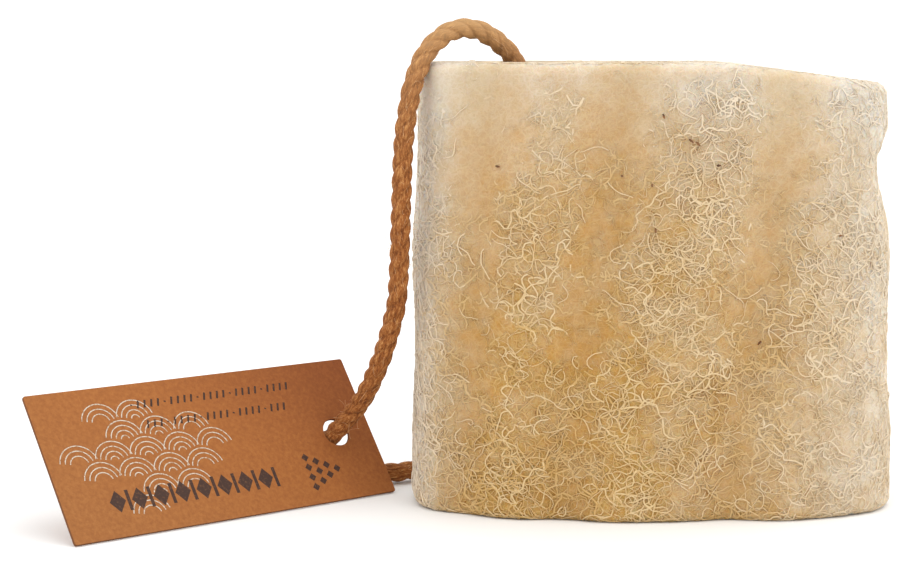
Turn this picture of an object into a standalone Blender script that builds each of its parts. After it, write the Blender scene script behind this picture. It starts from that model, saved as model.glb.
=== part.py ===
"""Natural loofah sponge: a cut block of dried gourd with a hanging cord and a kraft card tag.

Run with: blender --background --python part.py
Metres, +Z up. The block stands on its lower cut face at z = 0, centred on the origin, front towards -Y.
"""

import bpy
import bmesh
import math
import random
from mathutils import Matrix, Vector, noise

# Loofah block: half sizes of the flattened oval, height, and how square the oval is
BLOCK_HALF_WIDTH = 0.0655
BLOCK_HALF_DEPTH = 0.0325
BLOCK_HEIGHT = 0.1200
OVAL_POWER = 2.7
LEFT_NARROWING = 0.012       # share of the half width lost between floor and top
RIGHT_NARROWING = 0.044
DEPTH_NARROWING = 0.012
TOP_SLOPE_START = 0.018      # the top cut falls away to the right of this x
TOP_SLOPE = 0.13
RIM_LOW = 0.0024             # rounding of the lower and upper rims
RIM_HIGH = 0.0028

# Raised net on the block: cells round it, rows up the wall, strand half width and pit depth
CELLS_ROUND = 36
WALL_ROWS = 13
CAP_STEPS = (0.0105, 0.0185)
STRAND_HALF = 0.0010
PIT_DEPTH = 0.0014
JITTER = 0.26                # share of a cell that its corners wander
NET_SEED = 7

# Grooves between the ribs, as front x at the top and at the floor, then shares of the way round the back
FRONT_GROOVES = ((-0.0470, -0.0530), (-0.0090, -0.0265), (0.0343, 0.0195))
BACK_GROOVES = (0.045, 0.150, 0.255, 0.365, 0.470)
BACK_TWIST = 0.045
GROOVE_DEPTH = 0.0026
GROOVE_HALF = 0.0085
SWELL = 0.0011               # slow unevenness of the wall

# Dent in the upper part of the right edge: depth, height of its middle, half height, share of the way round
DENT_DEPTH = 0.0038
DENT_HEIGHT = 0.0960
DENT_HALF = 0.0100
DENT_SHARE = 0.055

# Seed channels, each (centre x, centre y, half width, half depth)
CHANNELS = (
    (-0.0400, 0.0000, 0.0125, 0.0115),
    (0.0005, 0.0010, 0.0110, 0.0120),
    (0.0395, 0.0000, 0.0120, 0.0112),
)
CHANNEL_SIDES = 18
CHANNEL_RINGS = 6
CHANNEL_WANDER = 0.0008

# Cord: diameter, and the clearance that touching meshes keep
CORD_DIAMETER = 0.0054
GAP = 0.0003
CORD_POINT_STEP = 0.0052
CORD_HOLE_RADIUS = 0.0033    # where it is threaded through the back wall
CORD_HOLE_X = -0.0365
CORD_HOLE_Y = 0.0225           # middle of the bore, which is this long
CORD_HOLE_LENGTH = 0.0340
CORD_HOLE_Z = 0.0080

# Route outside the block: out of the left channel, over the rim, down to the tag, back along the floor
CORD_ROUTE = (
    (-0.0368, -0.0010, 0.1160), (-0.0375, -0.0020, 0.1199), (-0.0405, -0.0042, 0.1238),
    (-0.0451, -0.0068, 0.1273), (-0.0499, -0.0092, 0.1288), (-0.0555, -0.0122, 0.1277),
    (-0.0609, -0.0152, 0.1228), (-0.0640, -0.0176, 0.1160), (-0.0657, -0.0190, 0.1090),
    (-0.0671, -0.0195, 0.0978), (-0.0679, -0.0188, 0.0785), (-0.0683, -0.0176, 0.0680),
    (-0.0691, -0.0153, 0.0568), (-0.0710, -0.0124, 0.0485), (-0.0737, -0.0085, 0.0398),
    (-0.0777, -0.0035, 0.0303), (-0.0806, 0.0002, 0.0255), (-0.0836, 0.0035, 0.0215),
    (-0.0860, 0.0062, 0.0185), (-0.0879, 0.0083, 0.0162), (-0.0898, 0.0104, 0.0139),
    (-0.0913, 0.0129, 0.0118), (-0.0921, 0.0157, 0.0098), (-0.0921, 0.0186, 0.0080),
    (-0.0911, 0.0211, 0.0063), (-0.0892, 0.0230, 0.0049), (-0.0866, 0.0240, 0.0038),
    (-0.0838, 0.0241, 0.0032), (-0.0811, 0.0234, 0.0031), (-0.0760, 0.0212, 0.0031),
    (-0.0732, 0.0207, 0.0031), (-0.0704, 0.0210, 0.0031), (-0.0665, 0.0233, 0.0032),
    (-0.0634, 0.0270, 0.0033), (-0.0617, 0.0310, 0.0034), (-0.0611, 0.0350, 0.0034),
    (-0.0606, 0.0395, 0.0033), (-0.0585, 0.0445, 0.0032), (-0.0545, 0.0480, 0.0032),
    (-0.0500, 0.0488, 0.0034), (-0.0456, 0.0475, 0.0040), (-0.0421, 0.0448, 0.0049),
    (-0.0395, 0.0412, 0.0060), (-0.0377, 0.0372, 0.0071), (-0.0367, 0.0330, 0.0078),
    (-0.0365, 0.0278, 0.0080),
)

# Route inside the left channel, below and above the closing knot
KNOT_AT = (-0.0345, 0.0005, 0.0400)
KNOT_RADIUS = 0.0062
LOWER_ROUTE = (
    (-0.0365, 0.0275, 0.0080), (-0.0365, 0.0190, 0.0080), (-0.0364, 0.0122, 0.0081),
    (-0.0361, 0.0084, 0.0089), (-0.0357, 0.0055, 0.0109), (-0.0353, 0.0036, 0.0139),
    (-0.0350, 0.0026, 0.0180), (-0.0347, 0.0013, 0.0255), (-0.0345, 0.0005, 0.0334),
)
UPPER_ROUTE = (
    (-0.0345, 0.0005, 0.0466), (-0.0344, 0.0004, 0.0600), (-0.0345, 0.0002, 0.0800),
    (-0.0350, -0.0002, 0.0980), (-0.0359, -0.0005, 0.1080), (-0.0366, -0.0008, 0.1152),
)

# Tag: card size, lean, and the eyelet hole measured from its lower left corner
TAG_LENGTH = 0.1026
TAG_HEIGHT = 0.0425
TAG_THICKNESS = 0.0009
TAG_CORNER = 0.0012
TAG_HOLE_AT = (0.0908, 0.0202)
TAG_HOLE_RADIUS = 0.0041
TAG_FOOT = (-0.1483, -0.0593, 0.0001)
TAG_YAW = math.radians(40.62)
TAG_LEAN = math.radians(54.2)


def clear_scene():
    for obj in list(bpy.data.objects):
        bpy.data.objects.remove(obj, do_unlink=True)


def new_collection(name):
    collection = bpy.data.collections.new(name)
    bpy.context.scene.collection.children.link(collection)
    return collection


def make_material(name, colour, roughness):
    material = bpy.data.materials.new(name)
    material.use_nodes = True
    shader = material.node_tree.nodes["Principled BSDF"]
    shader.inputs["Base Color"].default_value = (*colour, 1.0)
    shader.inputs["Roughness"].default_value = roughness
    shader.inputs["Metallic"].default_value = 0.0
    material.diffuse_color = (*colour, 1.0)
    return material


def object_from_bmesh(name, bm, collection, material=None):
    mesh = bpy.data.meshes.new(name)
    bm.to_mesh(mesh)
    bm.free()
    obj = bpy.data.objects.new(name, mesh)
    collection.objects.link(obj)
    if material:
        mesh.materials.append(material)
    return obj


def even_oval(half_width, half_depth, count):
    """Points evenly spaced round a squarish oval, from +X towards +Y, each with its outward direction."""
    fine = 1440
    power = 2.0 / OVAL_POWER
    raw = []
    for i in range(fine + 1):
        a = 2.0 * math.pi * i / fine
        c, s = math.cos(a), math.sin(a)
        raw.append(Vector((
            half_width * math.copysign(abs(c) ** power, c),
            half_depth * math.copysign(abs(s) ** power, s),
        )))
    run = [0.0]
    for a, b in zip(raw, raw[1:]):
        run.append(run[-1] + (b - a).length)
    points, k = [], 0
    for i in range(count):
        target = run[-1] * i / count
        while run[k + 1] < target:
            k += 1
        t = (target - run[k]) / max(run[k + 1] - run[k], 1e-12)
        points.append(raw[k].lerp(raw[k + 1], t))
    out = []
    for i, p in enumerate(points):
        along = points[(i + 1) % count] - points[i - 1]
        out.append((p, Vector((along.y, -along.x)).normalized()))
    return out, run[-1]


OVAL_STEPS = 720
WALL_OVAL, WALL_LENGTH = even_oval(BLOCK_HALF_WIDTH, BLOCK_HALF_DEPTH, OVAL_STEPS)


def share_of_front_x(x):
    """How far round the oval, as a share of it, the front wall passes this x."""
    front = range(OVAL_STEPS // 2, OVAL_STEPS)
    return min(front, key=lambda i: abs(WALL_OVAL[i][0].x - x)) / OVAL_STEPS


def groove_lines():
    """Each groove as its share round the oval at the floor and at the top."""
    lines = [(share_of_front_x(low), share_of_front_x(high)) for high, low in FRONT_GROOVES]
    lines += [(share - BACK_TWIST * 0.5, share + BACK_TWIST * 0.5) for share in BACK_GROOVES]
    return lines


GROOVES = groove_lines()


def wall_relief(share, height):
    """How far the wall stands in or out of the plain oval, from its grooves and slow swells."""
    rise = height / BLOCK_HEIGHT
    total = 0.0
    for low, high in GROOVES:
        away = (share - (low + (high - low) * rise) + 0.5) % 1.0 - 0.5
        total -= GROOVE_DEPTH * math.exp(-((away * WALL_LENGTH / GROOVE_HALF) ** 2))
    from_right = (share + 0.5) % 1.0 - 0.5
    dent = math.exp(-((height - DENT_HEIGHT) / DENT_HALF) ** 2 - (from_right / DENT_SHARE) ** 2)
    angle = 2.0 * math.pi * share
    spot = Vector((2.2 * math.cos(angle), 2.2 * math.sin(angle), height / 0.028))
    return total - DENT_DEPTH * dent + SWELL * noise.noise(spot)


def top_height(x):
    """The upper cut: level, then falling gently to the right."""
    return BLOCK_HEIGHT - TOP_SLOPE * max(0.0, x - TOP_SLOPE_START)


def sample_oval(oval, share):
    place = (share % 1.0) * len(oval)
    i = int(place) % len(oval)
    j = (i + 1) % len(oval)
    t = place - int(place)
    return oval[i][0].lerp(oval[j][0], t), oval[i][1].lerp(oval[j][1], t).normalized()


def block_profile():
    """The rows of the net from the foot to the middle of the top cut, as (inset, height share)."""
    rows = [(RIM_LOW, 0.0)]
    low, high = RIM_LOW, BLOCK_HEIGHT - RIM_HIGH
    for k in range(WALL_ROWS + 1):
        rows.append((0.0, (low + (high - low) * k / WALL_ROWS) / BLOCK_HEIGHT))
    rows.append((RIM_HIGH * 1.1, 1.0))
    rows += [(step, 1.0) for step in CAP_STEPS]
    return rows


def block_point(share, row):
    """A point of the block where row runs from the foot, up the wall and in over the top cut."""
    rows = block_profile()
    row = min(max(row, 0.0), len(rows) - 1.0)
    k = min(int(row), len(rows) - 2)
    t = row - k
    inset = rows[k][0] * (1 - t) + rows[k + 1][0] * t
    rise = rows[k][1] * (1 - t) + rows[k + 1][1] * t
    oval = INSET_OVALS[k], INSET_OVALS[k + 1]
    a, out_a = sample_oval(oval[0], share)
    b, out_b = sample_oval(oval[1], share)
    flat, out = a.lerp(b, t), out_a.lerp(out_b, t).normalized()
    fade = 1.0 - min(1.0, inset / 0.016)
    flat = flat + out * wall_relief(share, rise * BLOCK_HEIGHT) * fade
    x = flat.x * (1.0 - (RIGHT_NARROWING if flat.x > 0.0 else LEFT_NARROWING) * rise)
    y = flat.y * (1.0 - DEPTH_NARROWING * rise)
    return Vector((x, y, rise * top_height(x)))


INSET_OVALS = [
    even_oval(BLOCK_HALF_WIDTH - inset, BLOCK_HALF_DEPTH - inset, OVAL_STEPS)[0]
    for inset, _ in block_profile()
]


def netted_block(name, collection, material):
    """The closed block: a ring of bricks drawn up into a sleeve, then pulled into an uneven net of pits."""
    columns = 2 * CELLS_ROUND
    rows = len(block_profile()) - 1
    bm = bmesh.new()
    ring = bmesh.ops.create_circle(bm, cap_ends=False, segments=columns, radius=1.0)["verts"]
    edges = list(bm.edges)
    for _ in range(rows):
        grown = bmesh.ops.extrude_edge_only(bm, edges=edges)["geom"]
        ring = [g for g in grown if isinstance(g, bmesh.types.BMVert)]
        bmesh.ops.translate(bm, verts=ring, vec=(0.0, 0.0, 1.0))
        edges = [g for g in grown if isinstance(g, bmesh.types.BMEdge)
                 and all(v in set(ring) for v in g.verts)]

    def place(vert):
        turn = math.atan2(vert.co.y, vert.co.x) / (2.0 * math.pi) % 1.0
        return round(turn * columns) % columns, round(vert.co.z)

    # Every second upright goes, so that each brick keeps six corners
    spare = []
    for edge in bm.edges:
        (c1, r1), (c2, r2) = place(edge.verts[0]), place(edge.verts[1])
        if c1 == c2 and (c1 + min(r1, r2)) % 2 == 1:
            spare.append(edge)
    bmesh.ops.dissolve_edges(bm, edges=spare, use_verts=False)

    rng = random.Random(NET_SEED)
    spots = {key: (rng.uniform(-1, 1), rng.uniform(-1, 1)) for key in
             sorted(place(v) for v in bm.verts)}
    for vert in bm.verts:
        column, row = place(vert)
        sideways, upward = spots[(column, row)]
        share = (column + sideways * JITTER * 1.7) / columns
        if 0 < row < rows:
            peak = 0.17 if (column + row) % 2 == 0 else -0.17
            level = row + peak + upward * JITTER * (0.9 if 1 < row < rows - 3 else 0.4)
        else:
            level = row
        vert.co = block_point(share, level)

    cells = list(bm.faces)
    foot = [e for e in bm.edges if e.is_boundary and e.verts[0].co.z < 0.01]
    head = [e for e in bm.edges if e.is_boundary and e.verts[0].co.z > 0.01]
    bmesh.ops.edgeloop_fill(bm, edges=foot)
    bmesh.ops.edgeloop_fill(bm, edges=head)
    bmesh.ops.recalc_face_normals(bm, faces=bm.faces)
    bmesh.ops.inset_individual(bm, faces=cells, thickness=STRAND_HALF, depth=-PIT_DEPTH,
                               use_even_offset=True)
    bmesh.ops.triangulate(bm, faces=bm.faces, quad_method="SHORT_EDGE", ngon_method="BEAUTY")
    return object_from_bmesh(name, bm, collection, material)


def channel_cutter(index, collection):
    """One seed channel as an uneven bore, longer than the block at both ends."""
    x, y, half_width, half_depth = CHANNELS[index]
    bm = bmesh.new()
    bmesh.ops.create_circle(bm, cap_ends=False, segments=CHANNEL_SIDES, radius=1.0)
    edges = list(bm.edges)
    for _ in range(CHANNEL_RINGS):
        grown = bmesh.ops.extrude_edge_only(bm, edges=edges)["geom"]
        ring = [g for g in grown if isinstance(g, bmesh.types.BMVert)]
        bmesh.ops.translate(bm, verts=ring, vec=(0.0, 0.0, 1.0))
        edges = [g for g in grown if isinstance(g, bmesh.types.BMEdge)
                 and all(v in set(ring) for v in g.verts)]
    bmesh.ops.contextual_create(bm, geom=[e for e in bm.edges if e.is_boundary and e.verts[0].co.z < 0.5])
    bmesh.ops.contextual_create(bm, geom=[e for e in bm.edges if e.is_boundary and e.verts[0].co.z > 0.5])
    for vert in bm.verts:
        angle = math.atan2(vert.co.y, vert.co.x)
        height = -0.006 + (BLOCK_HEIGHT + 0.012) * vert.co.z / CHANNEL_RINGS
        spot = Vector((1.5 * math.cos(angle), 1.5 * math.sin(angle), height / 0.03 + 7.3 * index))
        swell = CHANNEL_WANDER * noise.noise(spot)
        power = 2.0 / 2.4
        c, s = math.cos(angle), math.sin(angle)
        vert.co = Vector((
            x + (half_width + swell) * math.copysign(abs(c) ** power, c),
            y + (half_depth + swell) * math.copysign(abs(s) ** power, s),
            height,
        ))
    bmesh.ops.recalc_face_normals(bm, faces=bm.faces)
    cutter = object_from_bmesh(f"channel_cutter_{index + 1}", bm, collection)
    return cutter


def cord_hole_cutter(collection):
    """The way that the cord is threaded through the back wall into the left channel."""
    bm = bmesh.new()
    spin = Matrix.Rotation(math.radians(90.0), 4, "X")
    bmesh.ops.create_cone(bm, cap_ends=True, cap_tris=False, segments=12,
                          radius1=CORD_HOLE_RADIUS, radius2=CORD_HOLE_RADIUS, depth=CORD_HOLE_LENGTH)
    bmesh.ops.transform(bm, matrix=Matrix.Translation((CORD_HOLE_X, CORD_HOLE_Y, CORD_HOLE_Z)) @ spin,
                        verts=bm.verts)
    return object_from_bmesh("cord_hole_cutter", bm, collection)


def cut(obj, cutters):
    for cutter in cutters:
        cutter.hide_render = True
        cutter.display_type = "WIRE"
        boolean = obj.modifiers.new(cutter.name, "BOOLEAN")
        boolean.operation = "DIFFERENCE"
        boolean.solver = "EXACT"
        boolean.object = cutter


def smooth_route(points, step):
    """Points at an even step along a smooth curve through the route's own points."""
    guide = [Vector(p) for p in points]
    ends = [guide[0] * 2 - guide[1]] + guide + [guide[-1] * 2 - guide[-2]]
    fine = []
    for a, b, c, d in zip(ends, ends[1:], ends[2:], ends[3:]):
        for i in range(24):
            t = i / 24.0
            fine.append(0.5 * (2 * b + (c - a) * t + (2 * a - 5 * b + 4 * c - d) * t * t
                               + (3 * b - 3 * c + d - a) * t ** 3))
    fine.append(guide[-1])
    run = [0.0]
    for a, b in zip(fine, fine[1:]):
        run.append(run[-1] + (b - a).length)
    count = max(2, round(run[-1] / step))
    spaced, k = [], 0
    for i in range(count + 1):
        target = run[-1] * i / count
        while k < len(run) - 2 and run[k + 1] < target:
            k += 1
        t = (target - run[k]) / max(run[k + 1] - run[k], 1e-12)
        spaced.append(fine[k].lerp(fine[k + 1], t))
    return spaced


def cord_tube(name, points, step, collection, material):
    """A plain round tube along the route."""
    curve = bpy.data.curves.new(name, "CURVE")
    curve.dimensions = "3D"
    curve.bevel_depth = CORD_DIAMETER * 0.5
    curve.bevel_resolution = 2
    curve.use_fill_caps = True
    spaced = smooth_route(points, step)
    spline = curve.splines.new("POLY")
    spline.points.add(len(spaced) - 1)
    for point, spot in zip(spline.points, spaced):
        point.co = (*spot, 1.0)
    curve.materials.append(material)
    obj = bpy.data.objects.new(name, curve)
    collection.objects.link(obj)
    return obj


def closing_knot(name, collection, material):
    """The pulled-tight knot as a ball with three turns showing."""
    bm = bmesh.new()
    bmesh.ops.create_uvsphere(bm, u_segments=14, v_segments=9, radius=KNOT_RADIUS)
    for vert in bm.verts:
        x, y, z = vert.co / KNOT_RADIUS
        turn = math.atan2(y, x)
        ridge = 0.08 * math.sin(3.0 * (turn + 2.2 * z)) * (1.0 - z * z)
        vert.co = vert.co * (0.96 + ridge)
    obj = object_from_bmesh(name, bm, collection, material)
    obj.location = KNOT_AT
    return obj


def card_tag(name, collection, material):
    """The card with its round-cornered outline and its hole, leaning back on its lower edge."""
    curve = bpy.data.curves.new(name, "CURVE")
    curve.dimensions = "2D"
    curve.fill_mode = "BOTH"
    curve.extrude = TAG_THICKNESS * 0.5
    outline = []
    for cx, cy, start in ((TAG_LENGTH - TAG_CORNER, TAG_CORNER, -90), (TAG_LENGTH - TAG_CORNER,
                          TAG_HEIGHT - TAG_CORNER, 0), (TAG_CORNER, TAG_HEIGHT - TAG_CORNER, 90),
                          (TAG_CORNER, TAG_CORNER, 180)):
        for k in range(4):
            a = math.radians(start + 30 * k)
            outline.append((cx + TAG_CORNER * math.cos(a), cy + TAG_CORNER * math.sin(a)))
    hole = [(TAG_HOLE_AT[0] + TAG_HOLE_RADIUS * math.cos(2 * math.pi * k / 24),
             TAG_HOLE_AT[1] + TAG_HOLE_RADIUS * math.sin(2 * math.pi * k / 24)) for k in range(24)]
    for loop in (outline, hole):
        spline = curve.splines.new("POLY")
        spline.points.add(len(loop) - 1)
        for point, (x, y) in zip(spline.points, loop):
            point.co = (x, y, 0.0, 1.0)
        spline.use_cyclic_u = True
    curve.materials.append(material)
    obj = bpy.data.objects.new(name, curve)
    collection.objects.link(obj)
    obj.rotation_euler = (TAG_LEAN, 0.0, TAG_YAW)
    lift = TAG_THICKNESS * 0.5 * math.cos(TAG_LEAN)
    obj.location = Vector(TAG_FOOT) + Vector((0.0, 0.0, lift))
    return obj


def centre_block(obj):
    """Shifts the block's mesh so that its box is centred on the origin and stands on z = 0."""
    xs = [v.co.x for v in obj.data.vertices]
    ys = [v.co.y for v in obj.data.vertices]
    zs = [v.co.z for v in obj.data.vertices]
    shift = Vector((-(min(xs) + max(xs)) / 2, -(min(ys) + max(ys)) / 2, -min(zs)))
    obj.data.transform(Matrix.Translation(shift))


def main():
    clear_scene()
    parts = new_collection("loofah_sponge")
    cutters = new_collection("cutters")

    fibre = make_material("loofah_fibre", (0.58, 0.38, 0.17), 0.85)
    jute = make_material("jute_cord", (0.45, 0.22, 0.09), 0.9)
    card = make_material("kraft_card", (0.45, 0.19, 0.06), 0.85)

    block = netted_block("loofah", parts, fibre)
    centre_block(block)
    bores = [channel_cutter(i, cutters) for i in range(len(CHANNELS))]
    cut(block, bores + [cord_hole_cutter(cutters)])

    cord_tube("cord", CORD_ROUTE, CORD_POINT_STEP, parts, jute)
    cord_tube("cord_lower_run", LOWER_ROUTE, CORD_POINT_STEP, parts, jute)
    cord_tube("cord_upper_run", UPPER_ROUTE, 0.012, parts, jute)
    closing_knot("cord_knot", parts, jute)
    card_tag("tag", parts, card)


main()
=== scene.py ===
import bpy, bmesh, math, random
from mathutils import Matrix, Vector, noise


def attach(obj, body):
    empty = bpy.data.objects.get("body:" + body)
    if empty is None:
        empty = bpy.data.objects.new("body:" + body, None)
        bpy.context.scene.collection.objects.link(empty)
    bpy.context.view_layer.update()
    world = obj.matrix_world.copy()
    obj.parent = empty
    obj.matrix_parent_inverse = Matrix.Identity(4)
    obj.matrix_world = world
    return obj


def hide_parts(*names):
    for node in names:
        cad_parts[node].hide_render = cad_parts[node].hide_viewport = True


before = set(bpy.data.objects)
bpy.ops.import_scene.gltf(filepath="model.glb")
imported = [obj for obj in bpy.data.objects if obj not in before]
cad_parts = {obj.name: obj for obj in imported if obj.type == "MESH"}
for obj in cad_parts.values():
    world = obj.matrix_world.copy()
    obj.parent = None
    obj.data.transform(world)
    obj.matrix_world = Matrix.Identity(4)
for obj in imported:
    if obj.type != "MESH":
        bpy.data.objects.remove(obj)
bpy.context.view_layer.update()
print("frame loaded:", ", ".join(sorted(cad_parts)))


# camera, at the photograph's angle

camera = {
    "place": (-0.0520, -0.5962, 0.1260),
    "tilt": 83.6,      # degrees up from looking straight down
    "lens": 85.74, "sensor": 36.0,
    "near": 0.01, "far": 20.0,
}


def linked(name, data):
    obj = bpy.data.objects.new(name, data)
    bpy.context.scene.collection.objects.link(obj)
    return obj


def addCamera():
    data = bpy.data.cameras.new("camera")
    data.lens, data.sensor_width = camera["lens"], camera["sensor"]
    data.clip_start, data.clip_end = camera["near"], camera["far"]
    obj = linked("camera", data)
    obj.location = camera["place"]
    obj.rotation_euler = (math.radians(camera["tilt"]), 0.0, 0.0)
    bpy.context.scene.camera = obj


addCamera()


# node helpers for the materials

def newMaterial(name):
    mat = bpy.data.materials.new(name)
    mat.use_nodes = True
    tree = mat.node_tree
    return mat, tree, tree.nodes["Principled BSDF"]


def addNode(tree, kind, **settings):
    node = tree.nodes.new(kind)
    for key, value in settings.items():
        setattr(node, key, value)
    return node


def setInputs(node, **values):
    for key, value in values.items():
        node.inputs[key.replace("_", " ")].default_value = value
    return node


def link(tree, source, target):
    tree.links.new(source, target)


def objectPlace(tree, scale=(1.0, 1.0, 1.0), turn=(0.0, 0.0, 0.0)):
    coords = addNode(tree, "ShaderNodeTexCoord")
    mapping = addNode(tree, "ShaderNodeMapping")
    mapping.inputs["Scale"].default_value = scale
    mapping.inputs["Rotation"].default_value = turn
    link(tree, coords.outputs["Object"], mapping.inputs["Vector"])
    return mapping.outputs["Vector"]


def noiseAt(tree, place, scale, detail=3.0, rough=0.55, warp=0.0):
    tex = addNode(tree, "ShaderNodeTexNoise")
    setInputs(tex, Scale=scale, Detail=detail, Roughness=rough, Distortion=warp)
    link(tree, place, tex.inputs["Vector"])
    return tex.outputs["Fac"]


def ramp(tree, value, stops):
    node = addNode(tree, "ShaderNodeValToRGB")
    band = node.color_ramp
    while len(band.elements) < len(stops):
        band.elements.new(0.5)
    for element, (at, colour) in zip(band.elements, stops):
        element.position = at
        element.color = (*colour, 1.0)
    link(tree, value, node.inputs["Fac"])
    return node.outputs["Color"]


def mathOf(tree, operation, a, b, clamp=False):
    node = addNode(tree, "ShaderNodeMath", operation=operation, use_clamp=clamp)
    for socket, value in zip(node.inputs, (a, b)):
        if isinstance(value, (int, float)):
            socket.default_value = value
        else:
            link(tree, value, socket)
    return node.outputs[0]


def weighted(tree, *terms, clamp=False):
    # the sum of the values, each times its factor
    total = mathOf(tree, "MULTIPLY", *terms[0])
    for k, term in enumerate(terms[1:], 2):
        total = mathOf(tree, "ADD", total, mathOf(tree, "MULTIPLY", *term), clamp and k == len(terms))
    return total


def mixColour(tree, fac, a, b, blend="MIX"):
    node = addNode(tree, "ShaderNodeMix", data_type="RGBA", blend_type=blend)
    for socket, value in ((node.inputs[0], fac), (node.inputs[6], a), (node.inputs[7], b)):
        if isinstance(value, (int, float)):
            socket.default_value = value
        elif isinstance(value, tuple):
            socket.default_value = (*value, 1.0)
        else:
            link(tree, value, socket)
    return node.outputs[2]


def bumpFrom(tree, height, strength, distance):
    node = addNode(tree, "ShaderNodeBump")
    setInputs(node, Strength=strength, Distance=distance)
    link(tree, height, node.inputs["Height"])
    return node.outputs["Normal"]


def dress(tree, shader, colour, normal=None, **values):
    # wires a material's colour and relief and sets its plain values
    link(tree, colour, shader.inputs["Base Color"])
    if normal is not None:
        link(tree, normal, shader.inputs["Normal"])
    setInputs(shader, **values)


def newGroup(name, inputs, output):
    # inputs and output are each a socket's name and its kind
    group = bpy.data.node_groups.new(name, "ShaderNodeTree")
    for title, kind in inputs:
        group.interface.new_socket(title, in_out="INPUT", socket_type="NodeSocket" + kind)
    group.interface.new_socket(output[0], in_out="OUTPUT", socket_type="NodeSocket" + output[1])
    return group, addNode(group, "NodeGroupInput"), addNode(group, "NodeGroupOutput")


def srgb(r, g, b):
    def linear(c):
        c /= 255.0
        return c / 12.92 if c <= 0.04045 else ((c + 0.055) / 1.055) ** 2.4
    return (linear(r), linear(g), linear(b))


def finishPiece(obj, node=None):
    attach(obj, "root")
    if node:
        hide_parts(node)
    return obj


def pieceFromBmesh(name, bm, mat, smooth=True):
    mesh = bpy.data.meshes.new(name)
    bm.to_mesh(mesh)
    bm.free()
    if smooth:
        mesh.shade_smooth()
    mesh.materials.append(mat)
    return linked(name, mesh)


def fibreCurves(name, strands, thickness, mat):
    # one curve object that holds many separate fibres
    curve = bpy.data.curves.new(name, "CURVE")
    curve.dimensions = "3D"
    curve.bevel_depth = thickness * 0.5
    curve.bevel_resolution = 0
    curve.use_fill_caps = True
    for points, widths in strands:
        spline = curve.splines.new("POLY")
        spline.points.add(len(points) - 1)
        spline.points.foreach_set("co", [c for p in points for c in (p.x, p.y, p.z, 1.0)])
        spline.points.foreach_set("radius", widths)
        spline.use_smooth = True
    if mat:
        curve.materials.append(mat)
    return linked(name, curve)


def flatCurve(name, loops, extrude):
    # a filled flat curve with one closed outline a loop
    curve = bpy.data.curves.new(name, "CURVE")
    curve.dimensions, curve.fill_mode, curve.extrude = "2D", "BOTH", extrude
    for loop in loops:
        spline = curve.splines.new("POLY")
        spline.points.add(len(loop) - 1)
        for point, (x, y) in zip(spline.points, loop):
            point.co = (x, y, 0.0, 1.0)
        spline.use_cyclic_u = True
    return curve


def meshOf(holder):
    # a curve object's final shape as a mesh; the object itself goes
    mesh = bpy.data.meshes.new_from_object(holder.evaluated_get(bpy.context.evaluated_depsgraph_get()))
    bpy.data.objects.remove(holder, do_unlink=True)
    return mesh


def onArc(cx, cy, radius, degrees):
    angle = math.radians(degrees)
    return cx + radius * math.cos(angle), cy + radius * math.sin(angle)


def smoothBetween(a, b, c, d, t):
    # a place t of the way from b to c, on a smooth way through all four
    return 0.5 * (2 * b + (c - a) * t + (2 * a - 5 * b + 4 * c - d) * t * t
                  + (3 * b - 3 * c + d - a) * t ** 3)


# cord: a three-strand twisted jute rope, out of the block, over its rim, through the tag and back in

cord = {
    "diameter": 0.0054,
    "strandRadius": 0.00182,
    "strandOffset": 0.00092,
    "pitch": 0.0142,          # one full turn of the strands
    "ringStep": 0.00075, "innerStep": 0.0011,
    "ringPoints": 36,
    "unevenness": 0.00012, "wobbleLength": 0.0040, "fineLength": 0.0022,
    "widest": 0.515,          # of the diameter, measured from the middle
    # where the painted shade between the strands starts and how deep it runs
    "grooveFrom": 0.00155, "grooveDepth": 0.00105,
    "paleTopHeight": 0.131,
    "fuzzCount": 420,
    "fuzzThickness": 0.00009,
    "seed": 21,
}

cordRoute = (
    (-0.0368, -0.0010, 0.1160), (-0.0375, -0.0020, 0.1199), (-0.0405, -0.0042, 0.1238),
    (-0.0451, -0.0068, 0.1273), (-0.0499, -0.0092, 0.1288), (-0.0555, -0.0122, 0.1277),
    (-0.0609, -0.0152, 0.1228), (-0.0640, -0.0176, 0.1160), (-0.0657, -0.0190, 0.1090),
    (-0.0671, -0.0195, 0.0978), (-0.0679, -0.0188, 0.0785), (-0.0683, -0.0176, 0.0680),
    (-0.0691, -0.0153, 0.0568), (-0.0710, -0.0124, 0.0485), (-0.0737, -0.0085, 0.0398),
    (-0.0777, -0.0035, 0.0303), (-0.0806, 0.0002, 0.0255), (-0.0836, 0.0035, 0.0215),
    (-0.0860, 0.0062, 0.0185), (-0.0879, 0.0083, 0.0162), (-0.0898, 0.0104, 0.0139),
    (-0.0913, 0.0129, 0.0118), (-0.0921, 0.0157, 0.0098), (-0.0921, 0.0186, 0.0080),
    (-0.0911, 0.0211, 0.0063), (-0.0892, 0.0230, 0.0049), (-0.0866, 0.0240, 0.0038),
    (-0.0838, 0.0241, 0.0032), (-0.0811, 0.0234, 0.0031), (-0.0760, 0.0212, 0.0031),
    (-0.0732, 0.0207, 0.0031), (-0.0704, 0.0210, 0.0031), (-0.0665, 0.0233, 0.0032),
    (-0.0634, 0.0270, 0.0033), (-0.0617, 0.0310, 0.0034), (-0.0611, 0.0350, 0.0034),
    (-0.0606, 0.0395, 0.0033), (-0.0585, 0.0445, 0.0032), (-0.0545, 0.0480, 0.0032),
    (-0.0500, 0.0488, 0.0034), (-0.0456, 0.0475, 0.0040), (-0.0421, 0.0448, 0.0049),
    (-0.0395, 0.0412, 0.0060), (-0.0377, 0.0372, 0.0071), (-0.0367, 0.0330, 0.0078),
    (-0.0365, 0.0278, 0.0080),
)
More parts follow.
